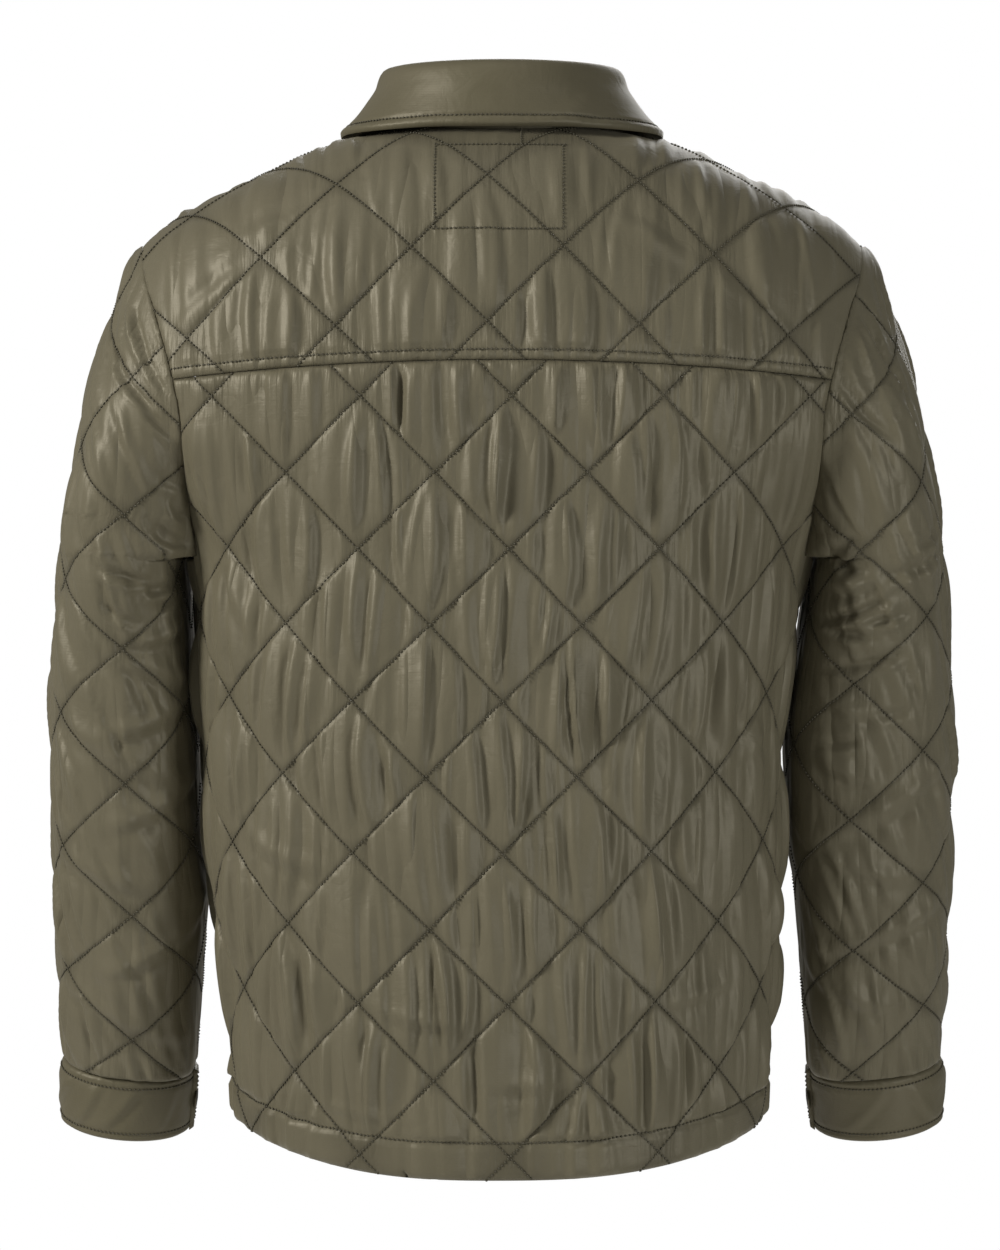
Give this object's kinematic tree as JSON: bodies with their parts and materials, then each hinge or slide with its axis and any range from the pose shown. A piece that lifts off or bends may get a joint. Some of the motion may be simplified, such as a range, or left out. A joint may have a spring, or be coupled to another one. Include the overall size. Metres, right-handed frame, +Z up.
{
  "type": "quilted jacket",
  "caption": "Diamond-quilted jacket in its worn form, hollow, with a back yoke, turned-down collar, long sleeves with plain cuffs and a straight hem.",
  "frame": {"origin": "base of the neck, midway between the high points of the shoulders", "axes": "+Z up, the back faces -Y, +X towards the wearer's right"},
  "size_m": [0.6395, 0.2953, 0.7469],
  "materials": {
    "quilted_shell": "olive woven polyester satin over light padding, quilted in diamonds",
    "plain_shell": "olive woven polyester satin, plain, edge-stitched",
    "snap_metal": "antique-finished snap caps"
  },
  "bodies": {
    "root": {"back_yoke": "quilted_shell", "back_panel": "quilted_shell", "front_left": "quilted_shell", "front_right": "quilted_shell", "sleeve_left": "quilted_shell", "sleeve_right": "quilted_shell", "cuff_left": "plain_shell", "cuff_right": "plain_shell", "collar_stand": "plain_shell", "collar_fall": "plain_shell", "front_placket": "plain_shell", "snap_1": "snap_metal", "snap_2": "snap_metal", "snap_3": "snap_metal", "snap_4": "snap_metal", "snap_5": "snap_metal", "snap_6": "snap_metal", "cuff_snap_left": "snap_metal", "cuff_snap_right": "snap_metal"}
  },
  "joints": []
}
